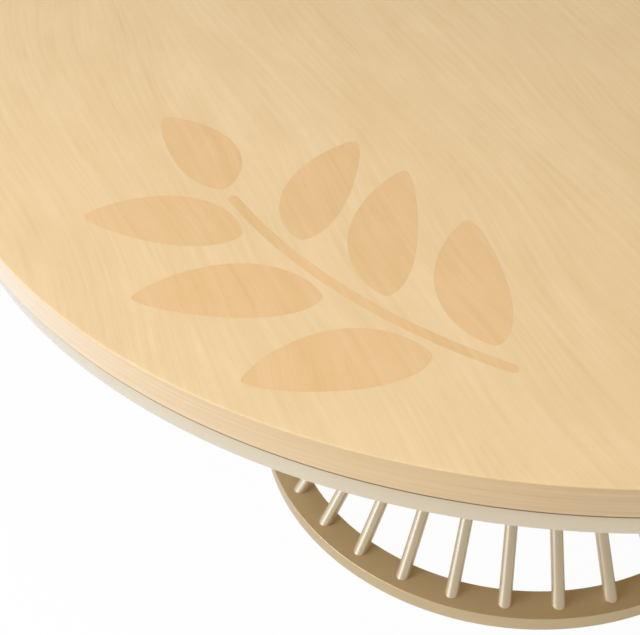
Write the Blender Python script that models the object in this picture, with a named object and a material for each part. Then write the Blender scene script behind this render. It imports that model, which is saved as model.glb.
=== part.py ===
"""Round pedestal dining table: a veneered top with a leaf-sprig inlay, carried by an hourglass cage of rods.

Units are metres, +Z is up, and the origin is on the floor under the middle of the table.
"""

import math

import bmesh
import bpy

# Top
TOP_DIAMETER = 1.600
TABLE_HEIGHT = 0.750
TOP_THICKNESS = 0.038  # edge band, from its lower edge to the table's face
ARRIS_RADIUS = 0.0015
FACE_VENEER_THICKNESS = 0.001
BAND_WIDTH = 0.030
BAND_CHAMFER = 0.001
TONGUE_THICKNESS = 0.010
TONGUE_LENGTH = 0.008
BACKING_THICKNESS = 0.0022
BACKING_SETBACK = 0.0016  # from the edge of the top; its dark-sealed rim shows as a line under the band

# Apron ring, a rolled angle
APRON_HEIGHT = 0.0257
APRON_SETBACK = 0.005
APRON_WALL = 0.003
APRON_FLANGE = 0.030

# Pedestal
BASE_DIAMETER = 0.850
RING_WIDTH = 0.050
BASE_RING_THICKNESS = 0.026
TOP_RING_THICKNESS = 0.010
RING_CHAMFER = 0.0015
ROD_COUNT = 32
ROD_OFFSET = 0.002  # rod axis at its foot, inside the ring's middle circle
ROD_FOOT_DIAMETER = 0.020
ROD_WAIST_DIAMETER = 0.016
WAIST_DIAMETER = 0.390  # circle of the rod axes at the waist
BEND_SOFTNESS = 0.050  # height over which a rod turns from its lower to its upper lean
HOOP_BAR_DIAMETER = 0.010

# Fixing bolts, button heads under the top ring
BOLT_COUNT = 4
BOLT_DIAMETER = 0.008
BOLT_HEAD_DIAMETER = 0.014
BOLT_HEAD_HEIGHT = 0.0044
BOLT_HEAD_FLAT = 0.60  # flat of the domed head, as a share of its diameter
BOLT_HEAD_RIM = 0.40  # straight rim of the head, as a share of its height
BOLT_BITE = 0.020  # length inside the core

# Levelling glides under the base ring
GLIDE_COUNT = 4
GLIDE_PROUD = 0.002  # base ring above the floor with the glides wound in
PAD_DIAMETER = 0.032
PAD_HEIGHT = 0.0082
PAD_CHAMFER = 0.001
SOCKET_DEPTH = 0.003
STUD_DIAMETER = 0.008
STUD_CHAMFER = 0.0008
RING_SKIN = 0.0035  # metal left over each stud's hole

# Leaf-sprig inlay
SPRIG_EDGE_DISTANCE = 0.140  # foot of the stem from the edge of the top
SPRIG_BEARING = math.radians(-92.6)  # where the foot stands, seen from the middle of the top
SPRIG_HEADING = math.radians(160.0)  # which way the stem sets off
STEM_LENGTH = 0.400
STEM_WIDTH = 0.012
STEM_RADIUS = 0.700  # the stem bends on an arc
LEAF_GAP = 0.016  # face veneer between the stem and a leaf's base
LEAF_SPACING = 0.020  # face veneer between neighbouring leaves
LEAF_POINT = 1.35  # 1 gives an oval, more gives sharper ends
LEAF_BASE_FULLNESS = 0.20  # how much wider a leaf is near its base than near its tip
LEAF_BEND = 0.06  # sideways bend of a leaf's middle line, as a share of its length
TIP_LEAF_LENGTH = 0.170
TIP_LEAF_WIDTH = 0.074
# Rows of leaves: side (+1 left), first leaf as a share of the spacing, angle off the stem, lengths
LEAF_ROWS = (
    (1, 0.55, math.radians(44.0), (0.185, 0.195, 0.180)),
    (-1, 0.20, math.radians(56.0), (0.200, 0.220, 0.195)),
)

# Fits and fineness
JOINT_GAP = 0.0003  # glue line, weld gap and running clearance
ROD_SIDES = 10
ROD_LEVELS = (-1.0, -0.5, -0.2, 0.0, 0.2, 0.5, 1.0)  # shares of the half height, from the waist
RING_SEGMENTS = 2 * ROD_COUNT
SMALL_SIDES = 16
SHARP_ANGLE = math.radians(40.0)
HOOP_SIDES = 8
LEAF_STEPS = 14
STEM_STEPS = 12
STEM_END_STEPS = 4
ARRIS_STEPS = 2

# Levels and radii that follow
TOP_RADIUS = TOP_DIAMETER / 2
BAND_BOTTOM = TABLE_HEIGHT - TOP_THICKNESS
VENEER_BOTTOM = TABLE_HEIGHT - FACE_VENEER_THICKNESS
CORE_TOP = VENEER_BOTTOM - JOINT_GAP
BACKING_TOP = BAND_BOTTOM - JOINT_GAP
BACKING_BOTTOM = BACKING_TOP - BACKING_THICKNESS
FRAME_TOP = BACKING_BOTTOM - JOINT_GAP  # apron flange and top ring bear here
BAND_INNER_RADIUS = TOP_RADIUS - BAND_WIDTH
CORE_RADIUS = BAND_INNER_RADIUS - JOINT_GAP
TONGUE_MIDDLE = (CORE_TOP + BAND_BOTTOM) / 2
APRON_RADIUS = TOP_RADIUS - APRON_SETBACK
BASE_RADIUS = BASE_DIAMETER / 2
RING_INNER_RADIUS = BASE_RADIUS - RING_WIDTH
RING_MIDDLE_RADIUS = BASE_RADIUS - RING_WIDTH / 2
BASE_RING_TOP = GLIDE_PROUD + BASE_RING_THICKNESS
TOP_RING_BOTTOM = FRAME_TOP - TOP_RING_THICKNESS
ROD_BOTTOM = BASE_RING_TOP + JOINT_GAP
ROD_TOP = TOP_RING_BOTTOM - JOINT_GAP
WAIST_HEIGHT = (ROD_BOTTOM + ROD_TOP) / 2
HALF_HEIGHT = (ROD_TOP - ROD_BOTTOM) / 2
ROD_FOOT_RADIUS = RING_MIDDLE_RADIUS - ROD_OFFSET
WAIST_RADIUS = WAIST_DIAMETER / 2
ROD_PITCH = 2 * math.pi / ROD_COUNT
HOLE_RADIUS = BOLT_DIAMETER / 2 + JOINT_GAP
STUD_HOLE_RADIUS = STUD_DIAMETER / 2 + JOINT_GAP
SOCKET_FLOOR = PAD_HEIGHT - SOCKET_DEPTH
STUD_TOP = BASE_RING_TOP - RING_SKIN - JOINT_GAP


def clear_scene():
    """Remove every object of the scene."""
    for obj in list(bpy.data.objects):
        bpy.data.objects.remove(obj, do_unlink=True)


def make_material(name, colour, roughness, metallic):
    """Principled material with one colour, roughness and metallic value."""
    material = bpy.data.materials.new(name)
    material.use_nodes = True
    shader = material.node_tree.nodes["Principled BSDF"]
    shader.inputs["Base Color"].default_value = (*colour, 1.0)
    shader.inputs["Roughness"].default_value = roughness
    shader.inputs["Metallic"].default_value = metallic
    return material


def make_mesh(name, bm):
    """Mesh datablock from a bmesh, facing out and smooth with sharp corners."""
    bmesh.ops.recalc_face_normals(bm, faces=bm.faces)
    mesh = bpy.data.meshes.new(name)
    bm.to_mesh(mesh)
    bm.free()
    mesh.shade_smooth()
    mesh.set_sharp_from_angle(angle=SHARP_ANGLE)
    return mesh


def place(name, mesh, material=None, at=(0.0, 0.0, 0.0), turn=0.0):
    """Object in the scene, at a place and turned about Z."""
    obj = bpy.data.objects.new(name, mesh)
    obj.location = at
    obj.rotation_euler = (0.0, 0.0, turn)
    bpy.context.scene.collection.objects.link(obj)
    if material and not mesh.materials:
        mesh.materials.append(material)
    return obj


def place_cutter(name, mesh):
    """Hidden object that only cuts others."""
    cutter = place(name, mesh)
    cutter.hide_render = True
    cutter.display_type = "WIRE"
    return cutter


def cut(obj, cutter):
    """Subtract a cutter from an object with a Boolean modifier."""
    modifier = obj.modifiers.new(cutter.name, "BOOLEAN")
    modifier.operation = "DIFFERENCE"
    modifier.solver = "EXACT"
    modifier.object = cutter


def stack(bm, rings, sides):
    """Closed solid through horizontal rings, each (x, y, z, radius along X, radius along Y)."""
    x, y, z, radius_x, radius_y = rings[0]
    made = bmesh.ops.create_circle(bm, cap_ends=True, segments=sides, radius=1.0)
    for vert in made["verts"]:
        vert.co = (x + radius_x * vert.co.x, y + radius_y * vert.co.y, z)
    first_cap = cap = made["verts"][0].link_faces[0]
    for ring in rings[1:]:
        grown = bmesh.ops.extrude_face_region(bm, geom=[cap])["geom"]
        if cap is not first_cap:
            bmesh.ops.delete(bm, geom=[cap], context="FACES_ONLY")
        cap = next(item for item in grown if isinstance(item, bmesh.types.BMFace))
        for vert in cap.verts:
            unit_x = (vert.co.x - x) / radius_x
            unit_y = (vert.co.y - y) / radius_y
            vert.co = (ring[0] + ring[3] * unit_x, ring[1] + ring[4] * unit_y, ring[2])
        x, y, z, radius_x, radius_y = ring


def turned_solid(name, outline, sides, centres=((0.0, 0.0),)):
    """Mesh of round solids on vertical axes, from an outline of (radius, z) with a flat cap at each end."""
    bm = bmesh.new()
    for x, y in centres:
        stack(bm, [(x, y, z, radius, radius) for radius, z in outline], sides)
    return make_mesh(name, bm)


def turned_ring(name, outline, segments):
    """Mesh of a ring about the Z axis, from a closed outline of (radius, z)."""
    bm = bmesh.new()
    verts = [bm.verts.new((radius, 0.0, z)) for radius, z in outline]
    edges = [bm.edges.new((verts[i - 1], verts[i])) for i in range(len(verts))]
    bmesh.ops.spin(bm, geom=verts + edges, cent=(0, 0, 0), axis=(0, 0, 1), angle=2 * math.pi,
                   steps=segments, use_merge=True)
    return make_mesh(name, bm)


def prism(bm, outline, bottom, top):
    """Closed prism over an outline of (x, y)."""
    face = bm.faces.new([bm.verts.new((x, y, bottom)) for x, y in outline])
    grown = bmesh.ops.extrude_face_region(bm, geom=[face])["geom"]
    for item in grown:
        if isinstance(item, bmesh.types.BMVert):
            item.co.z = top


def between_rods(count):
    """Places (x, y) spread round the rings' middle circle, each half way between two rods."""
    angles = [(round(i * ROD_COUNT / count) + 0.5) * ROD_PITCH for i in range(count)]
    return [(RING_MIDDLE_RADIUS * math.cos(angle), RING_MIDDLE_RADIUS * math.sin(angle)) for angle in angles]


def edge_radius(depth):
    """Radius of the top's rounded edge at a depth under the table's face."""
    if depth >= ARRIS_RADIUS:
        return TOP_RADIUS
    return TOP_RADIUS - ARRIS_RADIUS + math.sqrt(ARRIS_RADIUS**2 - (ARRIS_RADIUS - depth) ** 2)


def edge_points(depth_from, depth_to):
    """Points (radius, z) down the rounded edge between two depths."""
    depths = [depth_from + (depth_to - depth_from) * i / ARRIS_STEPS for i in range(ARRIS_STEPS + 1)]
    return [(edge_radius(depth), TABLE_HEIGHT - depth) for depth in depths]


def leaf_outline(length, width, bend):
    """Outline (x, y) of a leaf along +X from its base, anticlockwise, with its middle line bent aside."""
    lower = []
    upper = []
    for i in range(LEAF_STEPS + 1):
        angle = math.pi * i / LEAF_STEPS
        x = length * (1 - math.cos(angle)) / 2
        middle = bend * length * math.sin(angle) ** 2
        half = width / 2 * math.sin(angle) ** LEAF_POINT * (1 + LEAF_BASE_FULLNESS * math.cos(angle))
        lower.append((x, middle - half))
        upper.append((x, middle + half))
    return lower + upper[-2:0:-1]


def stem_heading(distance):
    """Direction of the stem at a distance along its arc."""
    return SPRIG_HEADING - distance / STEM_RADIUS


def stem_point(distance, offset=0.0):
    """Point (x, y) along the stem's arc, moved to the left by an offset."""
    foot_radius = TOP_RADIUS - SPRIG_EDGE_DISTANCE
    centre_x = foot_radius * math.cos(SPRIG_BEARING) + STEM_RADIUS * math.sin(SPRIG_HEADING)
    centre_y = foot_radius * math.sin(SPRIG_BEARING) - STEM_RADIUS * math.cos(SPRIG_HEADING)
    reach = STEM_RADIUS + offset
    heading = stem_heading(distance)
    return (centre_x - reach * math.sin(heading), centre_y + reach * math.cos(heading))


def round_end(distance, start_angle):
    """Points (x, y) of a half circle that closes one end of the stem."""
    x, y = stem_point(distance)
    angles = [start_angle + math.pi * i / STEM_END_STEPS for i in range(1, STEM_END_STEPS)]
    return [(x + STEM_WIDTH / 2 * math.cos(angle), y + STEM_WIDTH / 2 * math.sin(angle)) for angle in angles]


def stem_outline():
    """Outline (x, y) of the stem, a strip on an arc with round ends, anticlockwise."""
    places = [STEM_LENGTH * i / STEM_STEPS for i in range(STEM_STEPS + 1)]
    right = [stem_point(along, -STEM_WIDTH / 2) for along in places]
    left = [stem_point(along, STEM_WIDTH / 2) for along in reversed(places)]
    tip = round_end(STEM_LENGTH, stem_heading(STEM_LENGTH) - math.pi / 2)
    foot = round_end(0.0, SPRIG_HEADING + math.pi / 2)
    return right + tip + left + foot


def moved(outline, at, turn):
    """Outline turned and moved in the plane."""
    cos_turn = math.cos(turn)
    sin_turn = math.sin(turn)
    return [(at[0] + cos_turn * x - sin_turn * y, at[1] + sin_turn * x + cos_turn * y) for x, y in outline]


def grown_outline(outline, gap):
    """Outline moved outward by a gap, for an outline that runs anticlockwise."""
    grown = []
    for i, (x, y) in enumerate(outline):
        before = outline[i - 1]
        after = outline[(i + 1) % len(outline)]
        span = math.hypot(after[0] - before[0], after[1] - before[1])
        grown.append((x + gap * (after[1] - before[1]) / span, y - gap * (after[0] - before[0]) / span))
    return grown


def inlay_outlines():
    """Outlines of the inlay pieces: the stem first, then its rows of leaves and the leaf at its tip."""
    base_gap = STEM_WIDTH / 2 + LEAF_GAP
    outlines = [stem_outline()]
    for side, first, angle, lengths in LEAF_ROWS:
        pitch = STEM_LENGTH / len(lengths)
        reach = base_gap + max(lengths) * math.sin(angle) / 2
        width = pitch * (1 + side * reach / STEM_RADIUS) * math.sin(angle) - LEAF_SPACING
        for index, length in enumerate(lengths):
            along = (first + index) * pitch
            base = stem_point(along, side * base_gap)
            leaf = leaf_outline(length, width, -side * LEAF_BEND)
            outlines.append(moved(leaf, base, stem_heading(along) + side * angle))
    tip_leaf = leaf_outline(TIP_LEAF_LENGTH, TIP_LEAF_WIDTH, -LEAF_BEND)
    outlines.append(moved(tip_leaf, stem_point(STEM_LENGTH + base_gap), stem_heading(STEM_LENGTH)))
    return outlines


def build_bolt_cutter():
    """Holes for the fixing bolts, through the top ring and the backing veneer into the core."""
    outline = [
        (HOLE_RADIUS, TOP_RING_BOTTOM - TOP_RING_THICKNESS),
        (HOLE_RADIUS, BAND_BOTTOM + BOLT_BITE + JOINT_GAP),
    ]
    holes = turned_solid("cut_bolt_holes", outline, SMALL_SIDES, between_rods(BOLT_COUNT))
    return place_cutter("cut_bolt_holes", holes)


def build_top(veneer, inlay_wood, band_wood, board, backing_wood, bolt_cutter):
    """Core, edge band, veneers and inlay of the table's top."""
    tongue_low = TONGUE_MIDDLE - TONGUE_THICKNESS / 2
    tongue_high = TONGUE_MIDDLE + TONGUE_THICKNESS / 2
    tongue_tip = BAND_INNER_RADIUS - TONGUE_LENGTH
    core_outline = [
        (CORE_RADIUS, BAND_BOTTOM),
        (CORE_RADIUS, tongue_low - JOINT_GAP),
        (tongue_tip - JOINT_GAP, tongue_low - JOINT_GAP),
        (tongue_tip - JOINT_GAP, tongue_high + JOINT_GAP),
        (CORE_RADIUS, tongue_high + JOINT_GAP),
        (CORE_RADIUS, CORE_TOP),
    ]
    core = place("core_panel", turned_solid("core_panel", core_outline, RING_SEGMENTS), board)
    cut(core, bolt_cutter)

    band_depth = TABLE_HEIGHT - CORE_TOP
    band_outline = edge_points(band_depth, max(band_depth, ARRIS_RADIUS) + JOINT_GAP) + [
        (TOP_RADIUS, BAND_BOTTOM + BAND_CHAMFER),
        (TOP_RADIUS - BAND_CHAMFER, BAND_BOTTOM),
        (BAND_INNER_RADIUS, BAND_BOTTOM),
        (BAND_INNER_RADIUS, tongue_low),
        (tongue_tip, tongue_low),
        (tongue_tip, tongue_high),
        (BAND_INNER_RADIUS, tongue_high),
        (BAND_INNER_RADIUS, CORE_TOP),
    ]
    place("edge_band", turned_ring("edge_band", band_outline, RING_SEGMENTS), band_wood)

    veneer_outline = edge_points(FACE_VENEER_THICKNESS, 0.0)
    face = place("face_veneer", turned_solid("face_veneer", veneer_outline, RING_SEGMENTS), veneer)
    outlines = inlay_outlines()
    openings = bmesh.new()
    for outline in outlines:
        opening = grown_outline(outline, JOINT_GAP)
        prism(openings, opening, VENEER_BOTTOM - FACE_VENEER_THICKNESS, TABLE_HEIGHT + FACE_VENEER_THICKNESS)
    cut(face, place_cutter("cut_inlay", make_mesh("cut_inlay", openings)))
    for number, outline in enumerate(outlines):
        name = f"inlay_leaf_{number}" if number else "inlay_stem"
        bm = bmesh.new()
        prism(bm, outline, VENEER_BOTTOM, TABLE_HEIGHT)
        place(name, make_mesh(name, bm), inlay_wood)

    backing_radius = TOP_RADIUS - BACKING_SETBACK
    backing_outline = [(backing_radius, BACKING_BOTTOM), (backing_radius, BACKING_TOP)]
    sheet = turned_solid("backing_veneer", backing_outline, RING_SEGMENTS)
    backing = place("backing_veneer", sheet, backing_wood)
    cut(backing, bolt_cutter)


def build_apron(metal):
    """Rolled angle under the top: a skirt with a flange that bears on the backing veneer."""
    bottom = FRAME_TOP - APRON_HEIGHT
    outline = [
        (APRON_RADIUS, FRAME_TOP),
        (APRON_RADIUS, bottom),
        (APRON_RADIUS - APRON_WALL, bottom),
        (APRON_RADIUS - APRON_WALL, FRAME_TOP - APRON_WALL),
        (APRON_RADIUS - APRON_FLANGE, FRAME_TOP - APRON_WALL),
        (APRON_RADIUS - APRON_FLANGE, FRAME_TOP),
    ]
    place("apron_ring", turned_ring("apron_ring", outline, RING_SEGMENTS), metal)


def build_rods(metal):
    """Hourglass cage of tapered rods, each bent at the waist, with level ends."""
    softness = BEND_SOFTNESS
    lean = (ROD_FOOT_RADIUS - WAIST_RADIUS) / (math.hypot(HALF_HEIGHT, softness) - softness)
    rings = []
    for level in ROD_LEVELS:
        rise = level * HALF_HEIGHT
        reach = math.hypot(rise, softness)
        slope = lean * rise / reach
        radius = (ROD_WAIST_DIAMETER + (ROD_FOOT_DIAMETER - ROD_WAIST_DIAMETER) * abs(level)) / 2
        centre = WAIST_RADIUS + lean * (reach - softness)
        rings.append((centre, 0.0, WAIST_HEIGHT + rise, radius * math.hypot(1.0, slope), radius))
    bm = bmesh.new()
    stack(bm, rings, ROD_SIDES)
    mesh = make_mesh("rod", bm)
    for number in range(ROD_COUNT):
        place(f"rod_{number + 1:02d}", mesh, metal, turn=number * ROD_PITCH)


def build_hoop(metal):
    """Round-bar hoop inside the rods at the waist."""
    bar_radius = HOOP_BAR_DIAMETER / 2
    hoop_radius = WAIST_RADIUS - ROD_WAIST_DIAMETER / 2 - JOINT_GAP - bar_radius
    outline = []
    for i in range(HOOP_SIDES):
        angle = -2 * math.pi * i / HOOP_SIDES
        z = WAIST_HEIGHT + bar_radius * math.sin(angle)
        outline.append((hoop_radius + bar_radius * math.cos(angle), z))
    place("waist_hoop", turned_ring("waist_hoop", outline, RING_SEGMENTS), metal)


def flat_ring_outline(bottom, top):
    """Outline (radius, z) of a flat ring with chamfered edges."""
    chamfer = RING_CHAMFER
    return [
        (BASE_RADIUS - chamfer, top),
        (BASE_RADIUS, top - chamfer),
        (BASE_RADIUS, bottom + chamfer),
        (BASE_RADIUS - chamfer, bottom),
        (RING_INNER_RADIUS + chamfer, bottom),
        (RING_INNER_RADIUS, bottom + chamfer),
        (RING_INNER_RADIUS, top - chamfer),
        (RING_INNER_RADIUS + chamfer, top),
    ]


def build_rings(metal, bolt_cutter, glide_places):
    """Base ring with its glide recesses, and top ring with its bolt holes."""
    base_outline = flat_ring_outline(GLIDE_PROUD, BASE_RING_TOP)
    base = place("base_ring", turned_ring("base_ring", base_outline, RING_SEGMENTS), metal)
    recess_radius = PAD_DIAMETER / 2 + JOINT_GAP
    recess_outline = [
        (recess_radius, 0.0),
        (recess_radius, PAD_HEIGHT + JOINT_GAP),
        (STUD_HOLE_RADIUS, PAD_HEIGHT + JOINT_GAP),
        (STUD_HOLE_RADIUS, BASE_RING_TOP - RING_SKIN),
    ]
    recesses = turned_solid("cut_glide_recesses", recess_outline, SMALL_SIDES, glide_places)
    cut(base, place_cutter("cut_glide_recesses", recesses))

    top_outline = flat_ring_outline(TOP_RING_BOTTOM, FRAME_TOP)
    top = place("top_ring", turned_ring("top_ring", top_outline, RING_SEGMENTS), metal)
    cut(top, bolt_cutter)


def build_bolts(steel):
    """Button-head bolts that hold the top to the pedestal."""
    head_top = TOP_RING_BOTTOM - JOINT_GAP
    head_radius = BOLT_HEAD_DIAMETER / 2
    outline = [
        (BOLT_HEAD_FLAT * head_radius, head_top - BOLT_HEAD_HEIGHT),
        (head_radius, head_top - BOLT_HEAD_RIM * BOLT_HEAD_HEIGHT),
        (head_radius, head_top),
        (BOLT_DIAMETER / 2, head_top),
        (BOLT_DIAMETER / 2, BAND_BOTTOM + BOLT_BITE),
    ]
    mesh = turned_solid("fixing_bolt", outline, SMALL_SIDES)
    for number, (x, y) in enumerate(between_rods(BOLT_COUNT), start=1):
        place(f"fixing_bolt_{number}", mesh, steel, at=(x, y, 0.0))


def build_glides(nylon, steel, glide_places):
    """Levelling glides: a pad with a socket for the foot of its threaded stud."""
    pad_radius = PAD_DIAMETER / 2
    pad_outline = [
        (pad_radius - PAD_CHAMFER, 0.0),
        (pad_radius, PAD_CHAMFER),
        (pad_radius, PAD_HEIGHT),
        (STUD_HOLE_RADIUS, PAD_HEIGHT),
        (STUD_HOLE_RADIUS, SOCKET_FLOOR),
    ]
    stud_radius = STUD_DIAMETER / 2
    stud_bottom = SOCKET_FLOOR + JOINT_GAP
    stud_outline = [
        (stud_radius - STUD_CHAMFER, stud_bottom),
        (stud_radius, stud_bottom + STUD_CHAMFER),
        (stud_radius, STUD_TOP - STUD_CHAMFER),
        (stud_radius - STUD_CHAMFER, STUD_TOP),
    ]
    pad = turned_solid("glide_pad", pad_outline, SMALL_SIDES)
    stud = turned_solid("glide_stud", stud_outline, SMALL_SIDES)
    for number, (x, y) in enumerate(glide_places, start=1):
        place(f"glide_pad_{number}", pad, nylon, at=(x, y, 0.0))
        place(f"glide_stud_{number}", stud, steel, at=(x, y, 0.0))


def main():
    """Build the table."""
    clear_scene()
    veneer = make_material("pale_veneer", (0.75, 0.54, 0.30), 0.45, 0.0)
    inlay_wood = make_material("inlay_veneer", (0.71, 0.45, 0.20), 0.45, 0.0)
    band_wood = make_material("edge_wood", (0.73, 0.48, 0.21), 0.50, 0.0)
    board = make_material("core_board", (0.56, 0.42, 0.27), 0.80, 0.0)
    backing_wood = make_material("backing_veneer", (0.65, 0.47, 0.23), 0.60, 0.0)
    metal = make_material("champagne_metal", (0.70, 0.57, 0.37), 0.35, 0.6)
    steel = make_material("zinc_steel", (0.55, 0.56, 0.57), 0.35, 1.0)
    nylon = make_material("dark_nylon", (0.05, 0.05, 0.05), 0.60, 0.0)
    bolt_cutter = build_bolt_cutter()
    glide_places = between_rods(GLIDE_COUNT)
    build_top(veneer, inlay_wood, band_wood, board, backing_wood, bolt_cutter)
    build_apron(metal)
    build_rings(metal, bolt_cutter, glide_places)
    build_rods(metal)
    build_hoop(metal)
    build_bolts(steel)
    build_glides(nylon, steel, glide_places)


main()
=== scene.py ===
"""Looks of a round pedestal dining table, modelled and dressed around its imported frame.

Units are metres and +Z is up. The frame gives the places and sizes, and this script adds the surfaces:
rounded edges, a leaf-sprig inlay, wood grain, champagne metal, fasteners and a plain studio.
"""

import logging
import math
from abc import ABC, abstractmethod
from dataclasses import dataclass, replace
from enum import Enum
from typing import ClassVar

import bmesh
import bpy
from bmesh.types import BMEdge, BMesh, BMVert
from mathutils import Matrix, Vector


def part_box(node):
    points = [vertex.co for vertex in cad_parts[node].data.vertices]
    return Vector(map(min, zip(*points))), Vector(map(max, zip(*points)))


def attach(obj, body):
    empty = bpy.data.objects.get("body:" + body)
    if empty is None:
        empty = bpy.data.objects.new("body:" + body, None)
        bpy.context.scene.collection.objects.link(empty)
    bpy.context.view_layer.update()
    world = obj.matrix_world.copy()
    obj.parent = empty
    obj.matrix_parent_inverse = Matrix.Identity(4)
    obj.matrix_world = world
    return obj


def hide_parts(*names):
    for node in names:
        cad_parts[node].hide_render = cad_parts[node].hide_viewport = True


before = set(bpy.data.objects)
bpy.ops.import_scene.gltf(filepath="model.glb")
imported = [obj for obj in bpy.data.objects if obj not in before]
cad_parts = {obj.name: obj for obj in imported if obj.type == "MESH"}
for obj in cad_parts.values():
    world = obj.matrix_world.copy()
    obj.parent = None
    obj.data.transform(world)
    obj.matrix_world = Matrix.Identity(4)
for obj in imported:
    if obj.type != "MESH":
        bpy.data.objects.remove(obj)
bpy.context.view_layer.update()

Colour = tuple[float, float, float]
Triple = tuple[float, float, float]
Point = tuple[float, float]
Outline = list[Point]
Socket = bpy.types.NodeSocket

LOG = logging.getLogger("dining_table")
TABLE_BODY = "table"
GLIDE_COUNT = 4

# Fineness of the meshes
LARGE_SEGMENTS = 256
SMALL_SEGMENTS = 48
CORNER_SEGMENTS = 4
SMOOTH_ANGLE = math.radians(35.0)
MERGE_DISTANCE = 1e-6

UP = (0.0, 0.0, 1.0)
DOWN = (0.0, 0.0, -1.0)
WHITE = (1.0, 1.0, 1.0, 1.0)
LACQUER_ROUGHNESS = 0.25
SHEEN_ROUGHNESS = 0.4


class Slot(str, Enum):
    """Material slots of the record, from which the pieces take their finish."""

    PALE_VENEER = "pale_veneer"
    INLAY_VENEER = "inlay_veneer"
    EDGE_WOOD = "edge_wood"
    CORE_BOARD = "core_board"
    BACKING_VENEER = "backing_veneer"
    CHAMPAGNE_METAL = "champagne_metal"
    ZINC_STEEL = "zinc_steel"
    DARK_NYLON = "dark_nylon"


class Grain(Enum):
    """Ways that the grain of a wooden piece runs: a turn about Z, and a stretch along each axis."""

    ACROSS_THE_TOP = (math.radians(120.0), (1.0, 1.0, 1.0))
    ROUND_THE_EDGE = (0.0, (2.5, 140.0, 0.5))


@dataclass(frozen=True)
class Noise:
    """Layer of noise with its features drawn out to a size."""

    size: Triple  # length of a feature along each axis
    detail: float  # number of finer layers


class Wiring:
    """Adds and links the nodes of one shader tree."""

    def __init__(self, tree: bpy.types.NodeTree) -> None:
        """Keeps the tree that the nodes go into."""
        self.tree = tree

    @classmethod
    def of(cls, owner: bpy.types.ID) -> "Wiring":
        """Starts the nodes of a material or a world.

        Args:
            owner: the material or world, which loses the nodes that it has.

        Returns:
            The wiring of its tree.
        """
        owner.use_nodes = True
        owner.node_tree.nodes.clear()
        return cls(owner.node_tree)

    def add(self, kind: str, inputs: dict | None = None, **settings: object) -> bpy.types.Node:
        """Adds a node.

        Args:
            kind: Blender's name of the node type.
            inputs: what goes into its sockets, by name or number: a value, or another node's socket.
            settings: properties of the node itself.

        Returns:
            The new node.
        """
        node = self.tree.nodes.new(kind)
        for name, value in settings.items():
            setattr(node, name, value)
        for name, value in (inputs or {}).items():
            if isinstance(value, Socket):
                self.tree.links.new(value, node.inputs[name])
            else:
                node.inputs[name].default_value = value
        return node

    def math(self, operation: str, first: object, second: object, clamp: bool = False) -> Socket:
        """Adds a sum of two numbers or sockets.

        Args:
            operation: Blender's name of the sum, such as ADD.
            first: left number or socket.
            second: right number or socket.
            clamp: whether the result stays between 0 and 1.

        Returns:
            The socket of the result.
        """
        node = self.add("ShaderNodeMath", {0: first, 1: second}, operation=operation, use_clamp=clamp)
        return node.outputs[0]

    def mix(self, share: object, first: object, second: object) -> Socket:
        """Adds a mix of two colours.

        Args:
            share: how much of the second colour, from 0 to 1.
            first: colour or socket at a share of 0.
            second: colour or socket at a share of 1.

        Returns:
            The socket of the mixed colour.
        """
        node = self.add("ShaderNodeMix", {0: share, 6: first, 7: second}, data_type="RGBA")
        return node.outputs[2]

    def noise(self, vector: Socket, layer: Noise) -> Socket:
        """Adds a layer of noise.

        Args:
            vector: socket of the coordinates.
            layer: size and detail of the noise.

        Returns:
            The socket of the noise, about 0.5 on average.
        """
        place = self.add("ShaderNodeMapping", {"Vector": vector, "Scale": layer.size}, vector_type="TEXTURE")
        inputs = {"Vector": place.outputs[0], "Scale": 1.0, "Detail": layer.detail}
        return self.add("ShaderNodeTexNoise", inputs).outputs[0]

    def spread(self, value: Socket, low: float, high: float, to_low: float, to_high: float) -> Socket:
        """Adds a change of range, clamped at both ends.

        Args:
            value: socket of the number.
            low: lower end of its range.
            high: upper end of its range.
            to_low: what the lower end becomes.
            to_high: what the upper end becomes.

        Returns:
            The socket of the changed number.
        """
        return self.add("ShaderNodeMapRange", {0: value, 1: low, 2: high, 3: to_low, 4: to_high}).outputs[0]


class Pattern(ABC):
    """Shader node group that several finishes share: a tone between two colours, its gloss and its relief."""

    name: str
    amounts: tuple[str, ...]  # inputs of its own, beside those that every pattern has
    tone_range: tuple[float, float]  # tones between which the gloss changes
    gloss_swing: float  # how far the roughness moves from its middle
    inputs = {
        "Vector": "NodeSocketVector",
        "Pale": "NodeSocketColor",
        "Dark": "NodeSocketColor",
        "Gloss": "NodeSocketFloat",
    }
    outputs = {"Color": "NodeSocketColor", "Roughness": "NodeSocketFloat", "Height": "NodeSocketFloat"}
    middle = 0.5  # average of noise

    def group(self) -> bpy.types.NodeTree:
        """Gives the node group.

        Returns:
            The group, which is built at the first call.
        """
        made = bpy.data.node_groups.get(self.name)
        if made:
            return made
        tree = bpy.data.node_groups.new(self.name, "ShaderNodeTree")
        inputs = self.inputs | dict.fromkeys(self.amounts, "NodeSocketFloat")
        for name, kind in inputs.items():
            tree.interface.new_socket(name, in_out="INPUT", socket_type=kind)
        for name, kind in self.outputs.items():
            tree.interface.new_socket(name, in_out="OUTPUT", socket_type=kind)
        wiring = Wiring(tree)
        given = wiring.add("NodeGroupInput").outputs
        tone, height = self.wire(wiring, given)
        swing = wiring.spread(tone, *self.tone_range, self.gloss_swing, -self.gloss_swing)
        results = {
            "Color": wiring.mix(tone, given["Dark"], given["Pale"]),
            "Roughness": wiring.math("ADD", given["Gloss"], swing),
            "Height": height,
        }
        wiring.add("NodeGroupOutput", results)
        return tree

    @abstractmethod
    def wire(self, wiring: Wiring, given: bpy.types.NodeOutputs) -> tuple[Socket, Socket]:
        """Builds the pattern.

        Args:
            wiring: adds the nodes.
            given: sockets of the group's inputs.

        Returns:
            The tone, from 0 for dark to 1 for pale, and the height.
        """


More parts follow.
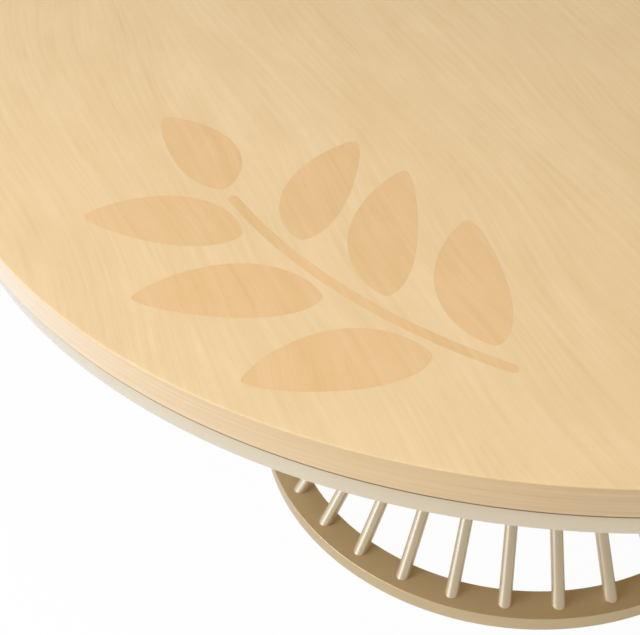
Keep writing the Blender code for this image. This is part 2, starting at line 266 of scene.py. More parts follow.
class WoodGrain(Pattern):
    """Grain along X on a swaying figure: fine and broad streaks, bands, soft clouds and short dark pores."""

    name = "wood_grain"
    amounts = ("Sway", "Streaks", "Bands", "Pores")
    tone_range = (0.0, 1.0)
    gloss_swing = 0.05
    figure = Noise((0.55, 0.24, 0.24), detail=1.0)
    fine = Noise((0.10, 0.0020, 0.0020), detail=3.0)
    streaks = Noise((0.18, 0.0075, 0.0075), detail=3.0)
    bands = Noise((0.90, 0.060, 0.060), detail=3.0)
    clouds = Noise((0.070, 0.035, 0.035), detail=2.0)
    pores = Noise((0.014, 0.0006, 0.0006), detail=2.0)
    pore_limits = (0.60, 0.72)  # noise where a pore begins, and where it is at its darkest
    fine_share = 0.5  # of the streaks

    def wire(self, wiring: Wiring, given: bpy.types.NodeOutputs) -> tuple[Socket, Socket]:
        """Builds the grain.

        Args:
            wiring: adds the nodes.
            given: sockets of the group's inputs.

        Returns:
            The tone and the height.
        """
        figure = wiring.math("SUBTRACT", wiring.noise(given["Vector"], self.figure), self.middle)
        aside = wiring.add("ShaderNodeCombineXYZ", {"Y": wiring.math("MULTIPLY", figure, given["Sway"])})
        places = {0: given["Vector"], 1: aside.outputs[0]}
        vector = wiring.add("ShaderNodeVectorMath", places, operation="ADD").outputs[0]
        fine = wiring.noise(vector, self.fine)
        layers = (
            (fine, wiring.math("MULTIPLY", given["Streaks"], self.fine_share)),
            (wiring.noise(vector, self.streaks), given["Streaks"]),
            (wiring.noise(vector, self.bands), given["Bands"]),
            (wiring.noise(vector, self.clouds), given["Bands"]),
        )
        tone: object = self.middle
        for layer, amount in layers:
            swing = wiring.math("SUBTRACT", layer, self.middle)
            tone = wiring.math("ADD", tone, wiring.math("MULTIPLY", swing, amount))
        pores = wiring.spread(wiring.noise(vector, self.pores), *self.pore_limits, 0.0, 1.0)
        darkening = wiring.math("MULTIPLY", pores, given["Pores"])
        return wiring.math("SUBTRACT", tone, darkening, clamp=True), wiring.math("SUBTRACT", fine, pores)


class SatinSurface(Pattern):
    """Fine unevenness of painted, plated or moulded surfaces, with broad faint clouds."""

    name = "satin_surface"
    amounts = ("Speckle",)
    tone_range = (0.2, 0.8)
    gloss_swing = 0.04
    clouds = Noise((0.080, 0.080, 0.080), detail=3.0)
    speckle = Noise((0.0012, 0.0012, 0.0012), detail=2.0)

    def wire(self, wiring: Wiring, given: bpy.types.NodeOutputs) -> tuple[Socket, Socket]:
        """Builds the unevenness.

        Args:
            wiring: adds the nodes.
            given: sockets of the group's inputs.

        Returns:
            The tone and the height.
        """
        clouds = wiring.noise(given["Vector"], self.clouds)
        speckle = wiring.noise(given["Vector"], self.speckle)
        swing = wiring.math("MULTIPLY", wiring.math("SUBTRACT", speckle, self.middle), given["Speckle"])
        return wiring.math("ADD", clouds, swing, clamp=True), speckle


@dataclass(frozen=True, kw_only=True)
class Finish(ABC):
    """Finish of one material slot."""

    pattern: ClassVar[Pattern]
    slot: Slot
    label: str = ""  # name of the material, where several finishes share a slot
    pale: Colour
    dark: Colour
    gloss: float  # middle of the roughness
    relief: float  # height of the surface's unevenness
    lacquer: float = 0.0
    sheen: float = 0.0  # pale haze at a low angle

    def material(self) -> bpy.types.Material:
        """Gives the material.

        Returns:
            The material, which is built at the first call.
        """
        name = f"{self.label or self.slot.value}_finish"
        made = bpy.data.materials.get(name)
        if made:
            return made
        material = bpy.data.materials.new(name)
        wiring = Wiring.of(material)
        place = wiring.add("ShaderNodeTexCoord").outputs["Object"]
        inputs = {
            "Pale": (*self.pale, 1.0),
            "Dark": (*self.dark, 1.0),
            "Gloss": self.gloss,
            **self.pattern_inputs(wiring, place),
        }
        surface = wiring.add("ShaderNodeGroup", inputs, node_tree=self.pattern.group()).outputs
        bump = wiring.add("ShaderNodeBump", {"Height": surface["Height"], "Distance": self.relief})
        sockets = {
            "Base Color": surface["Color"],
            "Roughness": surface["Roughness"],
            "Normal": bump.outputs[0],
            "Coat Weight": self.lacquer,
            "Coat Roughness": LACQUER_ROUGHNESS,
            "Sheen Weight": self.sheen,
            "Sheen Roughness": SHEEN_ROUGHNESS,
            **self.shader_inputs(),
        }
        shader = wiring.add("ShaderNodeBsdfPrincipled", sockets)
        wiring.add("ShaderNodeOutputMaterial", {"Surface": shader.outputs[0]})
        return material

    @abstractmethod
    def pattern_inputs(self, wiring: Wiring, place: Socket) -> dict[str, object]:
        """Gives what this kind of finish puts into its pattern.

        Args:
            wiring: adds the nodes.
            place: socket of the object's coordinates.

        Returns:
            Numbers and sockets, by the names of the pattern's inputs.
        """

    @abstractmethod
    def shader_inputs(self) -> dict[str, float]:
        """Gives the values of the shader's sockets that only this kind of finish sets."""


@dataclass(frozen=True, kw_only=True)
class WoodFinish(Finish):
    """Satin-lacquered wood."""

    pattern: ClassVar[Pattern] = WoodGrain()
    grain: Grain
    sway: float = 0.0  # how far the figure of the grain wanders
    streaks: float
    bands: float
    pores: float
    shift: Triple = (0.0, 0.0, 0.0)  # which part of the log the sheet was cut from
    relief: float = 0.00008
    specular: float = 0.12

    def pattern_inputs(self, wiring: Wiring, place: Socket) -> dict[str, object]:
        """Turns and stretches the grain, and gives its strengths.

        Args:
            wiring: adds the nodes.
            place: socket of the object's coordinates.

        Returns:
            Numbers and sockets, by the names of the grain's inputs.
        """
        turn, stretch = self.grain.value
        mapping = {"Vector": place, "Location": self.shift, "Rotation": (0.0, 0.0, turn), "Scale": stretch}
        along = wiring.add("ShaderNodeMapping", mapping, vector_type="TEXTURE")
        return {
            "Vector": along.outputs[0],
            "Sway": self.sway,
            "Streaks": self.streaks,
            "Bands": self.bands,
            "Pores": self.pores,
        }

    def shader_inputs(self) -> dict[str, float]:
        """Gives the wood's mirror gloss."""
        return {"Specular IOR Level": self.specular}


@dataclass(frozen=True, kw_only=True)
class SatinFinish(Finish):
    """Metal, paint or plastic with a satin surface."""

    pattern: ClassVar[Pattern] = SatinSurface()
    metallic: float
    speckle: float

    def pattern_inputs(self, wiring: Wiring, place: Socket) -> dict[str, object]:
        """Gives the strength of the speckle, at the object's own coordinates."""
        return {"Vector": place, "Speckle": self.speckle}

    def shader_inputs(self) -> dict[str, float]:
        """Gives the share of bare metal."""
        return {"Metallic": self.metallic}


PALE_VENEER = WoodFinish(
    slot=Slot.PALE_VENEER, pale=(0.805, 0.595, 0.35), dark=(0.67, 0.46, 0.225), gloss=0.42,
    grain=Grain.ACROSS_THE_TOP, sway=0.12, streaks=0.72, bands=0.45, pores=0.10,
)
INLAY_VENEER = replace(
    PALE_VENEER, slot=Slot.INLAY_VENEER, pale=(0.77, 0.515, 0.275), dark=(0.65, 0.407, 0.17),
    shift=(0.37, 0.21, 0.5),
)
EDGE_WOOD = WoodFinish(
    slot=Slot.EDGE_WOOD, pale=(0.81, 0.55, 0.255), dark=(0.65, 0.41, 0.15), gloss=0.50,
    grain=Grain.ROUND_THE_EDGE, streaks=1.1, bands=0.3, pores=0.10, specular=0.6, lacquer=1.0, sheen=1.0,
)
BACKING_VENEER = WoodFinish(
    slot=Slot.BACKING_VENEER, pale=(0.70, 0.49, 0.22), dark=(0.56, 0.38, 0.15), gloss=0.60,
    grain=Grain.ACROSS_THE_TOP, sway=0.22, streaks=1.2, bands=0.9, pores=0.25, shift=(0.11, 0.43, 0.2),
)
# Dark ring at the backing's rim: painted shadow of the gap between the band and the apron.
PAINTED_SHADE_RIM = WoodFinish(
    slot=Slot.BACKING_VENEER, label="painted_shade_rim", pale=(0.38, 0.245, 0.13), dark=(0.30, 0.19, 0.095),
    gloss=0.60, grain=Grain.ROUND_THE_EDGE, streaks=0.8, bands=0.5, pores=0.25,
)
CORE_BOARD = WoodFinish(
    slot=Slot.CORE_BOARD, pale=(0.58, 0.43, 0.27), dark=(0.40, 0.27, 0.15), gloss=0.80,
    grain=Grain.ROUND_THE_EDGE, streaks=0.80, bands=0.40, pores=0.40,
)
CHAMPAGNE_METAL = SatinFinish(
    slot=Slot.CHAMPAGNE_METAL, pale=(0.735, 0.605, 0.40), dark=(0.675, 0.545, 0.35), gloss=0.32,
    metallic=0.60, speckle=0.5, relief=0.000012, lacquer=0.8, sheen=0.6,
)
# The champagne metal made paler for the apron: a painted highlight of the lamps on it.
LIT_APRON_METAL = replace(
    CHAMPAGNE_METAL, label="apron_metal_painted_highlight", pale=(0.75, 0.63, 0.435), dark=(0.69, 0.567, 0.38)
)
# The champagne metal made darker and more saturated for the two flat rings: painted shade of the top above
# them, with a painted reflection of its wooden underside.
SHADED_RING_METAL = replace(
    CHAMPAGNE_METAL, label="ring_metal_painted_shade", pale=(0.69, 0.535, 0.30), dark=(0.63, 0.48, 0.255), gloss=0.40,
    lacquer=0.2, sheen=0.3,
)
ZINC_STEEL = SatinFinish(
    slot=Slot.ZINC_STEEL, pale=(0.66, 0.67, 0.68), dark=(0.50, 0.51, 0.53), gloss=0.32,
    metallic=1.0, speckle=0.6, relief=0.00001,
)
DARK_NYLON = SatinFinish(
    slot=Slot.DARK_NYLON, pale=(0.055, 0.053, 0.050), dark=(0.035, 0.034, 0.032), gloss=0.55,
    metallic=0.0, speckle=0.8, relief=0.00004,
)


def evenly(first: float, last: float, steps: int) -> list[float]:
    """Gives evenly spaced numbers.

    Args:
        first: first number.
        last: last number.
        steps: number of steps between them.

    Returns:
        The numbers, both ends among them.
    """
    return [first + (last - first) * i / steps for i in range(steps + 1)]


def arc(centre: Point, radii: Point, start: float, end: float, steps: int) -> Outline:
    """Gives points along an arc of a circle or an ellipse.

    Args:
        centre: its centre.
        radii: its half width and half height.
        start: angle of the first point.
        end: angle of the last point.
        steps: number of steps between them.

    Returns:
        The points, both ends among them.
    """
    angles = evenly(start, end, steps)
    return [(centre[0] + radii[0] * math.cos(a), centre[1] + radii[1] * math.sin(a)) for a in angles]


def grown(outline: Outline, gap: float) -> Outline:
    """Moves an outline outward.

    Args:
        outline: points (x, y), anticlockwise.
        gap: how far it moves.

    Returns:
        The moved points.
    """
    moved = []
    for i, (x, y) in enumerate(outline):
        along = Vector(outline[(i + 1) % len(outline)]) - Vector(outline[i - 1])
        along.normalize()
        moved.append((x + gap * along.y, y - gap * along.x))
    return moved


def rounded(bm: BMesh, geom: list[BMVert] | list[BMEdge], affect: str, radius: float) -> None:
    """Rounds corners or edges of a mesh.

    Args:
        bm: mesh that holds them.
        geom: the vertices or edges.
        affect: which of the two they are, VERTICES or EDGES.
        radius: radius of the rounding.
    """
    bmesh.ops.bevel(
        bm, geom=geom, affect=affect, offset=radius, segments=CORNER_SEGMENTS, profile=0.5, material=-1
    )


def spun(bm: BMesh, segments: int) -> None:
    """Spins everything in a mesh once round the Z axis and closes it.

    Args:
        bm: mesh that holds the section.
        segments: number of facets round the axis.
    """
    geom = bm.verts[:] + bm.edges[:]
    bmesh.ops.spin(bm, geom=geom, axis=UP, angle=math.tau, steps=segments, use_merge=True)
    bmesh.ops.remove_doubles(bm, verts=bm.verts[:], dist=MERGE_DISTANCE)
    bmesh.ops.recalc_face_normals(bm, faces=bm.faces[:])


def turned(outline: Outline, segments: int, rounding: float = 0.0) -> BMesh:
    """Turns a closed outline about the Z axis.

    Args:
        outline: points (radius, z) of the section, none of them on the axis.
        segments: number of facets round the axis.
        rounding: radius of the section's corners.

    Returns:
        The turned mesh.
    """
    bm = bmesh.new()
    bm.faces.new([bm.verts.new((radius, 0.0, z)) for radius, z in outline])
    if rounding:
        rounded(bm, bm.verts[:], "VERTICES", rounding)
    bmesh.ops.delete(bm, geom=bm.faces[:], context="FACES_ONLY")
    spun(bm, segments)
    return bm


def lathed(outline: Outline, segments: int) -> BMesh:
    """Turns an open outline about the Z axis.

    Args:
        outline: points (radius, z) of the section; an end on the axis closes the shape there.
        segments: number of facets round the axis.

    Returns:
        The turned mesh.
    """
    bm = bmesh.new()
    verts = [bm.verts.new((radius, 0.0, z)) for radius, z in outline]
    for first, second in zip(verts, verts[1:]):
        bm.edges.new((first, second))
    spun(bm, segments)
    return bm


def ring_edges(bm: BMesh, outline: Outline, z: float) -> list[BMEdge]:
    """Draws a closed line.

    Args:
        bm: mesh that it goes into.
        outline: points (x, y) of the line.
        z: its height.

    Returns:
        The edges of the line.
    """
    verts = [bm.verts.new((x, y, z)) for x, y in outline]
    return [bm.edges.new((verts[i - 1], vert)) for i, vert in enumerate(verts)]


def open_edges(bm: BMesh) -> list[BMEdge]:
    """Gives the edges of a mesh that only one face uses."""
    return [edge for edge in bm.edges if edge.is_boundary]


def extruded(bm: BMesh, edges: list[BMEdge]) -> tuple[list[BMEdge], list[BMVert]]:
    """Extrudes a closed line of edges in place.

    Args:
        bm: mesh that holds the edges.
        edges: edges of the line.

    Returns:
        The edges and the vertices of the new line.
    """
    made = bmesh.ops.extrude_edge_only(bm, edges=edges)["geom"]
    lines = [item for item in made if isinstance(item, BMEdge) and item.is_boundary]
    return lines, [item for item in made if isinstance(item, BMVert)]


def drawn(bm: BMesh, edges: list[BMEdge], rise: float) -> list[BMEdge]:
    """Draws a closed line of edges up or down, with a wall behind it.

    Args:
        bm: mesh that holds the edges.
        edges: edges of the line.
        rise: how far up it goes.

    Returns:
        The edges of the new line.
    """
    lines, verts = extruded(bm, edges)
    bmesh.ops.translate(bm, verts=verts, vec=(0.0, 0.0, rise))
    return lines


def mesh_of(bm: BMesh, name: str) -> bpy.types.Mesh:
    """Makes a modelled mesh one of Blender's.

    Args:
        bm: modelled mesh, which is freed.
        name: name of the mesh.

    Returns:
        The mesh.
    """
    mesh = bpy.data.meshes.new(name)
    bm.to_mesh(mesh)
    bm.free()
    return mesh


def repeated(bm: BMesh, places: list[Matrix]) -> BMesh:
    """Copies a mesh to several places.

    Args:
        bm: mesh to copy, which is freed.
        places: where the copies go.

    Returns:
        The copies in one mesh.
    """
    mesh = mesh_of(bm, "copied")
    copies = bmesh.new()
    for place in places:
        known = len(copies.verts)
        copies.from_mesh(mesh)
        copies.verts.ensure_lookup_table()
        bmesh.ops.transform(copies, matrix=place, verts=copies.verts[known:])
    bpy.data.meshes.remove(mesh)
    return copies


def new_object(name: str, data: bpy.types.ID) -> bpy.types.Object:
    """Adds an object to the scene.

    Args:
        name: name of the object.
        data: its mesh, lamp or camera.

    Returns:
        The object.
    """
    made = bpy.data.objects.new(name, data)
    bpy.context.scene.collection.objects.link(made)
    return made


def piece_of(bm: BMesh, name: str, finish: Finish, body: str, *nodes: str) -> bpy.types.Object:
    """Makes a dressed piece of a mesh, which rides on a body.

    Args:
        bm: modelled mesh, which is freed.
        name: name of the piece.
        finish: finish of its surface.
        body: body that it moves with.
        nodes: nodes of the frame that it stands for.

    Returns:
        The piece.
    """
    mesh = mesh_of(bm, name)
    mesh.shade_smooth()
    mesh.set_sharp_from_angle(angle=SMOOTH_ANGLE)
    mesh.materials.append(finish.material())
    piece = new_object(name, mesh)
    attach(piece, body)
    if nodes:
        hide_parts(*nodes)
    return piece


def dress_node(node: str, finish: Finish) -> bpy.types.Object:
    """Gives a node of the frame that stays in sight its finish.

    Args:
        node: name of the node.
        finish: finish of its surface.

    Returns:
        The node's object.
    """
    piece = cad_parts[node]
    piece.material_slots[0].material = finish.material()
    return piece


def cut_out(piece: bpy.types.Object, tool: BMesh) -> None:
    """Cuts a shape out of a piece.

    Args:
        piece: piece that loses the shape.
        tool: mesh of the shape, which is freed.
    """
    cutter = new_object("cutter", mesh_of(tool, "cutter"))
    cut = piece.modifiers.new("cut", "BOOLEAN")
    cut.operation = "DIFFERENCE"
    cut.object = cutter
    graph = bpy.context.evaluated_depsgraph_get()
    result = bpy.data.meshes.new_from_object(piece.evaluated_get(graph))
    piece.modifiers.remove(cut)
    piece.data = result
    result.set_sharp_from_angle(angle=SMOOTH_ANGLE)
    bpy.data.objects.remove(cutter)


class SubAssembly(ABC):
    """Part of the table that is modelled and dressed together."""

    @abstractmethod
    def build(self) -> list[bpy.types.Object]:
        """Builds the pieces.

        Returns:
            The pieces, in the order of making.
        """


@dataclass(frozen=True)
class LeafRow:
    """Leaves on one side of the stem."""

    side: int  # +1 is left of the stem, -1 right of it
    first: float  # place of the first leaf, as a share of the spacing
    angle: float  # between a leaf and the stem
    lengths: tuple[float, ...]


@dataclass
class Sprig:
    """Leaf sprig let into the face veneer: a stem on an arc, with leaves on both sides and at its tip."""

    top_radius: float
    edge_distance: float = 0.140  # foot of the stem from the edge of the top
    bearing: float = math.radians(-92.6)  # where the foot stands, seen from the middle of the top
    heading: float = math.radians(160.0)  # which way the stem sets off
    stem_length: float = 0.400
    stem_width: float = 0.012
    stem_radius: float = 0.700
    leaf_gap: float = 0.016  # face veneer between the stem and a leaf's base
    leaf_spacing: float = 0.020  # face veneer between neighbouring leaves
    leaf_point: float = 1.35  # 1 gives an oval, more gives sharper ends
    base_fullness: float = 0.20  # how much wider a leaf is near its base than near its tip
    leaf_bend: float = 0.06  # sideways bend of a leaf's middle line, as a share of its length
    tip_length: float = 0.170
    tip_width: float = 0.074
    rows: tuple[LeafRow, ...] = (
        LeafRow(side=1, first=0.55, angle=math.radians(44.0), lengths=(0.185, 0.195, 0.180)),
        LeafRow(side=-1, first=0.20, angle=math.radians(56.0), lengths=(0.200, 0.220, 0.195)),
    )
    leaf_steps: int = 40
    stem_steps: int = 40
    end_steps: int = 10

    def heading_at(self, distance: float) -> float:
        """Gives the direction of the stem at a distance along it."""
        return self.heading - distance / self.stem_radius

    def point_at(self, distance: float, offset: float = 0.0) -> Vector:
        """Gives a point along the stem.

        Args:
            distance: how far along the stem's arc.
            offset: how far to its left.

        Returns:
            The point (x, y).
        """
        out = Vector((math.cos(self.bearing), math.sin(self.bearing)))
        foot = (self.top_radius - self.edge_distance) * out
        centre = foot + self.stem_radius * Vector((math.sin(self.heading), -math.cos(self.heading)))
        angle = self.heading_at(distance)
        return centre + (self.stem_radius + offset) * Vector((-math.sin(angle), math.cos(angle)))

    def stem_end(self, distance: float, start: float) -> Outline:
        """Gives a half circle that closes the stem.

        Args:
            distance: place of the end along the stem.
            start: direction in which the half circle starts.

        Returns:
            The points between its two ends.
        """
        half = self.stem_width / 2
        middle = tuple(self.point_at(distance))
        return arc(middle, (half, half), start, start + math.pi, self.end_steps)[1:-1]

    def stem(self) -> Outline:
        """Gives the outline of the stem.

        Returns:
            The points (x, y), anticlockwise.
        """
        half = self.stem_width / 2
        places = evenly(0.0, self.stem_length, self.stem_steps)
        right = [tuple(self.point_at(along, -half)) for along in places]
        left = [tuple(self.point_at(along, half)) for along in reversed(places)]
        tip = self.stem_end(self.stem_length, self.heading_at(self.stem_length) - math.pi / 2)
        foot = self.stem_end(0.0, self.heading + math.pi / 2)
        return right + tip + left + foot

    def leaf(self, length: float, width: float, bend: float, base: Vector, turn: float) -> Outline:
        """Gives the outline of a leaf.

        Args:
            length: from base to tip.
            width: at its widest.
            bend: sideways bend of its middle line, as a share of its length.
            base: where its base lies.
            turn: direction from base to tip.

        Returns:
            The points (x, y), anticlockwise.
        """
        lower = []
        upper = []
        for angle in evenly(0.0, math.pi, self.leaf_steps):
            along = length * (1 - math.cos(angle)) / 2
            middle = bend * length * math.sin(angle) ** 2
            taper = math.sin(angle) ** self.leaf_point * (1 + self.base_fullness * math.cos(angle))
            lower.append(Vector((along, middle - width / 2 * taper)))
            upper.append(Vector((along, middle + width / 2 * taper)))
        place = Matrix.Rotation(turn, 2)
        return [tuple(base + place @ point) for point in lower + upper[-2:0:-1]]

    def outlines(self) -> list[Outline]:
        """Gives the outlines of all pieces.

        Returns:
            The stem, its rows of leaves and the leaf at its tip.
        """
        base_gap = self.stem_width / 2 + self.leaf_gap
        outlines = [self.stem()]
        for row in self.rows:
            pitch = self.stem_length / len(row.lengths)
            reach = base_gap + max(row.lengths) * math.sin(row.angle) / 2
            room = pitch * (1 + row.side * reach / self.stem_radius) * math.sin(row.angle)
            for index, length in enumerate(row.lengths):
                along = (row.first + index) * pitch
                base = self.point_at(along, row.side * base_gap)
                turn = self.heading_at(along) + row.side * row.angle
                bend = -row.side * self.leaf_bend
                outlines.append(self.leaf(length, room - self.leaf_spacing, bend, base, turn))
        tip = self.point_at(self.stem_length + base_gap)
        turn = self.heading_at(self.stem_length)
        outlines.append(self.leaf(self.tip_length, self.tip_width, -self.leaf_bend, tip, turn))
        return outlines


@dataclass
class TableTop(SubAssembly):
    """Veneered top: core, face veneer with its inlay, edge band and backing veneer."""

    radius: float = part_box("edge_band")[1].x
    face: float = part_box("face_veneer")[1].z
    veneer_bottom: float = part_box("face_veneer")[0].z
    band_bottom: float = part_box("edge_band")[0].z
    core_radius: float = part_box("core_panel")[1].x
    arris: float = 0.0015
    lower_arris: float = 0.001
    flat_margin: float = 0.004  # even ring inside the arris, which keeps the face's shading flat
    arris_steps: int = 6
    seam: float = 0.00008  # hairline between the inlay and the face veneer
    tongue: tuple[float, float] = (0.008, 0.010)  # length and thickness of the band's tongue
    # width of the backing's dark rim ring, which is painted shadow
    shade_rim_width: float = 0.006

    def arris_points(self, depth_from: float, depth_to: float) -> Outline:
        """Gives points down the rounded edge.

        Args:
            depth_from: depth of the first point under the face.
            depth_to: depth of the last point.

        Returns:
            The points (radius, z).
        """
        centre = (self.radius - self.arris, self.face - self.arris)
        start, end = (math.asin(1 - depth / self.arris) for depth in (depth_from, depth_to))
        return arc(centre, (self.arris, self.arris), start, end, self.arris_steps)

    def build(self) -> list[bpy.types.Object]:
        """Builds the top's pieces.

        Returns:
            The core, the backing, the band, the face and the inlay.
        """
        outlines = Sprig(self.radius).outlines()
        names = ["inlay_stem"] + [f"inlay_leaf_{number}" for number in range(1, len(outlines))]
        return [
            dress_node("core_panel", CORE_BOARD),
            *self.backing(),
            self.edge_band(),
            self.face_veneer(outlines),
            *(self.inlay(outline, name) for outline, name in zip(outlines, names)),
        ]

    def edge_band(self) -> bpy.types.Object:
        """Builds the solid-wood band with its tongue.

        Returns:
            The piece.
        """
        length, thickness = self.tongue
        inner = self.core_radius
        middle = (self.veneer_bottom + self.band_bottom) / 2
        outline = self.arris_points(self.face - self.veneer_bottom, self.arris) + [
            (self.radius, self.band_bottom + self.lower_arris),
            (self.radius - self.lower_arris, self.band_bottom),
            (inner, self.band_bottom),
            (inner, middle - thickness / 2),
            (inner - length, middle - thickness / 2),
            (inner - length, middle + thickness / 2),
            (inner, middle + thickness / 2),
            (inner, self.veneer_bottom),
        ]
        band = turned(outline, LARGE_SEGMENTS)
        return piece_of(band, "solid_edge_band", EDGE_WOOD, TABLE_BODY, "edge_band")

    def backing(self) -> list[bpy.types.Object]:
        """Builds the backing veneer and a dark ring round its rim, a painted shadow that shows as a line
        under the band.

        Returns:
            The two pieces.
        """
        low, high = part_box("backing_veneer")
        inner = high.x - self.shade_rim_width
        sheet = lathed([(0.0, low.z), (inner, low.z), (inner, high.z), (0.0, high.z)], LARGE_SEGMENTS)
        shade_rim = turned([(high.x, high.z), (high.x, low.z), (inner, low.z), (inner, high.z)], LARGE_SEGMENTS)
        return [
            piece_of(sheet, "backing_sheet", BACKING_VENEER, TABLE_BODY, "backing_veneer"),
            piece_of(shade_rim, "painted_shade_rim_ring", PAINTED_SHADE_RIM, TABLE_BODY),
        ]

    def close_below(self, bm: BMesh, edges: list[BMEdge]) -> None:
        """Draws lines of the face down to the veneer's underside, and fills that.

        Args:
            bm: mesh of the face.
            edges: edges of the lines.
        """
        drawn(bm, edges, self.veneer_bottom - self.face)
        bmesh.ops.triangle_fill(bm, use_beauty=True, edges=open_edges(bm), normal=DOWN)
        bmesh.ops.recalc_face_normals(bm, faces=bm.faces[:])

    def face_veneer(self, outlines: list[Outline]) -> bpy.types.Object:
        """Builds the face veneer with an opening for each inlay piece.

        Args:
            outlines: outlines of the inlay pieces.

        Returns:
            The piece.
        """
        bm = bmesh.new()
        flat = self.radius - self.arris - self.flat_margin
        rim = bmesh.ops.create_circle(bm, segments=LARGE_SEGMENTS, radius=flat)["verts"]
        bmesh.ops.translate(bm, verts=rim, vec=(0.0, 0.0, self.face))
        line = bm.edges[:]
        openings = []
        for outline in outlines:
            openings += ring_edges(bm, grown(outline, self.seam), self.face)
        bmesh.ops.triangle_fill(bm, use_beauty=True, edges=bm.edges[:], normal=UP)
        for radius, z in self.arris_points(0.0, self.face - self.veneer_bottom):
            line, verts = extruded(bm, line)
            for vert in verts:
                vert.co = (*(vert.co.xy.normalized() * radius), z)
        self.close_below(bm, openings)
        return piece_of(bm, "pale_face_veneer", PALE_VENEER, TABLE_BODY, "face_veneer")

    def inlay(self, outline: Outline, node: str) -> bpy.types.Object:
        """Builds one piece of the inlay, flush with the face.

        Args:
            outline: its outline.
            node: node of the frame that it stands for.

        Returns:
            The piece.
        """
        bm = bmesh.new()
        edges = ring_edges(bm, outline, self.face)
        bmesh.ops.triangle_fill(bm, use_beauty=True, edges=edges, normal=UP)
        self.close_below(bm, edges)
        return piece_of(bm, node.replace("inlay", "inlaid"), INLAY_VENEER, TABLE_BODY, node)


@dataclass(frozen=True, kw_only=True)
class ButtonScrew:
    """Button-head screw that points up, with a hexagon socket in the underside of its head."""

    head_radius: float
    head_height: float
    shank_radius: float
    shank_length: float
    socket_radius: float  # to the hexagon's corners
    socket_depth: float
    socket_sides: int = 6
    flat_share: float = 0.60  # flat of the domed head, as a share of its radius
    rim_share: float = 0.40  # straight rim, as a share of the head's height
    dome_steps: int = 5

    def mesh(self) -> BMesh:
        """Models the screw with its head's bearing face at the origin.

        Returns:
            The mesh.
        """
        flat = self.flat_share * self.head_radius
        rim = self.rim_share * self.head_height
        dome_size = (self.head_radius - flat, self.head_height - rim)
        dome = arc((flat, -rim), dome_size, -math.pi / 2, 0.0, self.dome_steps)
        shank = [(self.shank_radius, 0.0), (self.shank_radius, self.shank_length), (0.0, self.shank_length)]
        bm = lathed(dome + [(self.head_radius, 0.0)] + shank, SMALL_SEGMENTS)
        flat_rim = open_edges(bm)
        socket_size = (self.socket_radius, self.socket_radius)
        hexagon = arc((0.0, 0.0), socket_size, 0.0, math.tau, self.socket_sides)[:-1]
        socket = ring_edges(bm, hexagon, -self.head_height)
        bmesh.ops.triangle_fill(bm, use_beauty=True, edges=flat_rim + socket, normal=DOWN)
        bmesh.ops.contextual_create(bm, geom=drawn(bm, socket, self.socket_depth))
        bmesh.ops.recalc_face_normals(bm, faces=bm.faces[:])
        return bm


FLANGE_SCREW = ButtonScrew(
    head_radius=0.0042, head_height=0.0024, shank_radius=0.0022, shank_length=0.014,
    socket_radius=0.0016, socket_depth=0.0013,
)
TOP_BOLT = ButtonScrew(
    head_radius=0.007, head_height=0.0044, shank_radius=0.004, shank_length=0.0328,
    socket_radius=0.0029, socket_depth=0.0026,
)


@dataclass
class Apron(SubAssembly):
    """Rolled angle under the top, with the screws through its flange."""

    radius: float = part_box("apron_ring")[1].x
    top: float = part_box("apron_ring")[1].z
    bottom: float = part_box("apron_ring")[0].z
    wall: float = 0.003
    flange: float = 0.030
    rounding: float = 0.0008
    screw: ButtonScrew = FLANGE_SCREW
    screw_count: int = 16

    def build(self) -> list[bpy.types.Object]:
        """Builds the apron's pieces.

        Returns:
            The ring and its screws.
        """
        outline = [
            (self.radius, self.top),
            (self.radius, self.bottom),
            (self.radius - self.wall, self.bottom),
            (self.radius - self.wall, self.top - self.wall),
            (self.radius - self.flange, self.top - self.wall),
            (self.radius - self.flange, self.top),
        ]
        ring = turned(outline, LARGE_SEGMENTS, self.rounding)
        return [piece_of(ring, "rolled_apron", LIT_APRON_METAL, TABLE_BODY, "apron_ring"), self.screws()]

    def screws(self) -> bpy.types.Object:
        """Builds the screws along the middle of the flange.

        Returns:
            The screws, as one piece.
        """
        circle = self.radius - (self.wall + self.flange) / 2
        seat = Matrix.Translation((circle, 0.0, self.top - self.wall))
        turns = [math.tau * (number + 0.5) / self.screw_count for number in range(self.screw_count)]
        places = [Matrix.Rotation(turn, 4, "Z") @ seat for turn in turns]
        return piece_of(repeated(self.screw.mesh(), places), "apron_screws", ZINC_STEEL, TABLE_BODY)


